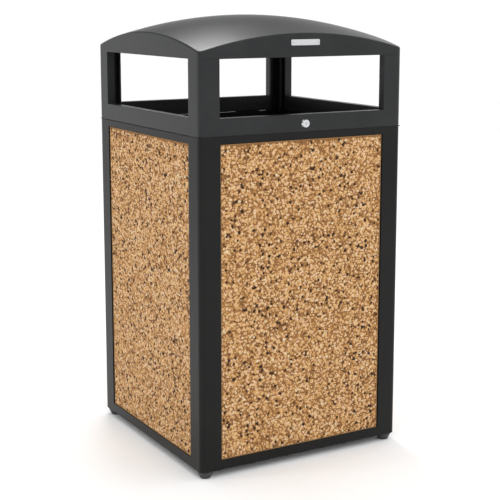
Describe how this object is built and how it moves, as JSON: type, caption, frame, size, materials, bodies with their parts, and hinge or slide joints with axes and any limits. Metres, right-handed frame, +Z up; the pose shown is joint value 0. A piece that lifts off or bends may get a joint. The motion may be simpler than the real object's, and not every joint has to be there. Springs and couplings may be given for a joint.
{
  "type": "ashtray bin",
  "caption": "Square outdoor litter bin with exposed-aggregate stone panels, a hinged locking domed hood open on all sides, a lift-out ash tray and a lift-out liner.",
  "frame": {"origin": "on the floor, under the centre of the square frame", "axes": "+Z up, -Y towards the front with the lock, +X to the right seen from the front"},
  "size_m": [0.66, 0.6748, 1.271],
  "materials": {
    "frame_plastic": "satin",
    "black_plastic": "matte",
    "aggregate_stone": "matte",
    "foot_steel": "satin",
    "liner_plastic": "satin",
    "rubber": "matte",
    "nameplate_enamel": "satin",
    "lock_chrome": "polished",
    "tray_steel": "satin",
    "black_steel": "satin",
    "hinge_steel": "satin",
    "zinc_steel": "satin"
  },
  "bodies": {
    "base": {"base_post_front_left": "frame_plastic", "base_post_front_right": "frame_plastic", "base_post_back_right": "frame_plastic", "base_post_back_left": "frame_plastic", "base_top_rail_front": "frame_plastic", "base_top_rail_right": "frame_plastic", "base_top_rail_back": "frame_plastic", "base_top_rail_left": "frame_plastic", "base_bottom_rail_front": "frame_plastic", "base_bottom_rail_right": "frame_plastic", "base_bottom_rail_back": "frame_plastic", "base_bottom_rail_left": "frame_plastic", "floor_pan": "black_plastic", "floor_pan_screws": "zinc_steel", "stone_panel_front": "aggregate_stone", "stone_panel_right": "aggregate_stone", "stone_panel_back": "aggregate_stone", "stone_panel_left": "aggregate_stone", "panel_clips": "zinc_steel", "panel_screws": "zinc_steel", "foot_plates": "zinc_steel", "hood_bumpers": "rubber", "lock_strike": "zinc_steel", "strike_screws": "zinc_steel", "base_hinge_leaf_left": "hinge_steel", "base_hinge_leaf_right": "hinge_steel", "hinge_pins": "hinge_steel", "base_hinge_screws": "hinge_steel"},
    "hood": {"hood_ring_front": "frame_plastic", "hood_ring_right": "frame_plastic", "hood_ring_back": "frame_plastic", "hood_ring_left": "frame_plastic", "hood_post_front_left": "frame_plastic", "hood_post_front_right": "frame_plastic", "hood_post_back_right": "frame_plastic", "hood_post_back_left": "frame_plastic", "hood_fascia_front": "frame_plastic", "hood_fascia_right": "frame_plastic", "hood_fascia_back": "frame_plastic", "hood_fascia_left": "frame_plastic", "hood_roof": "frame_plastic", "roof_screws": "black_steel", "nameplate": "nameplate_enamel", "nameplate_rivets": "zinc_steel", "lock_housing": "lock_chrome", "lock_nut": "zinc_steel", "hood_hinge_leaf_left": "hinge_steel", "hood_hinge_leaf_right": "hinge_steel", "hood_hinge_screws": "hinge_steel", "tray_brackets": "zinc_steel", "tray_bracket_screws": "zinc_steel"},
    "lock": {"lock_plug": "lock_chrome", "lock_cam": "zinc_steel", "cam_screw": "zinc_steel"},
    "ash_tray": {"ash_tray": "tray_steel"},
    "liner": {"rigid_liner": "liner_plastic"},
    "foot_front_left": {"levelling_foot_front_left": "foot_steel"},
    "foot_front_right": {"levelling_foot_front_right": "foot_steel"},
    "foot_back_right": {"levelling_foot_back_right": "foot_steel"},
    "foot_back_left": {"levelling_foot_back_left": "foot_steel"}
  },
  "joints": [
    {"name": "hood_hinge", "type": "hinge", "parent": "base", "child": "hood", "pos_m": [0, 0.33, 0.953], "axis": [-1, 0, 0], "range_deg": [0, 95]},
    {"name": "lock_turn", "type": "hinge", "parent": "hood", "child": "lock", "pos_m": [0, -0.33, 0.976], "axis": [0, -1, 0], "range_deg": [0, 90]},
    {"name": "ash_tray_lift", "type": "slide", "parent": "hood", "child": "ash_tray", "axis": [0, 0, 1], "range_m": [0, 0.12]},
    {"name": "liner_lift", "type": "slide", "parent": "base", "child": "liner", "axis": [0, 0, 1], "range_m": [0, 0.581]},
    {"name": "foot_front_left_screw", "type": "slide", "parent": "base", "child": "foot_front_left", "axis": [0, 0, -1], "range_m": [0, 0.012]},
    {"name": "foot_front_right_screw", "type": "slide", "parent": "base", "child": "foot_front_right", "axis": [0, 0, -1], "range_m": [0, 0.012]},
    {"name": "foot_back_right_screw", "type": "slide", "parent": "base", "child": "foot_back_right", "axis": [0, 0, -1], "range_m": [0, 0.012]},
    {"name": "foot_back_left_screw", "type": "slide", "parent": "base", "child": "foot_back_left", "axis": [0, 0, -1], "range_m": [0, 0.012]}
  ],
  "couplings": [
    {"joint": "liner_lift", "follows": "hood_hinge", "m_per_rad": 0.35}
  ]
}
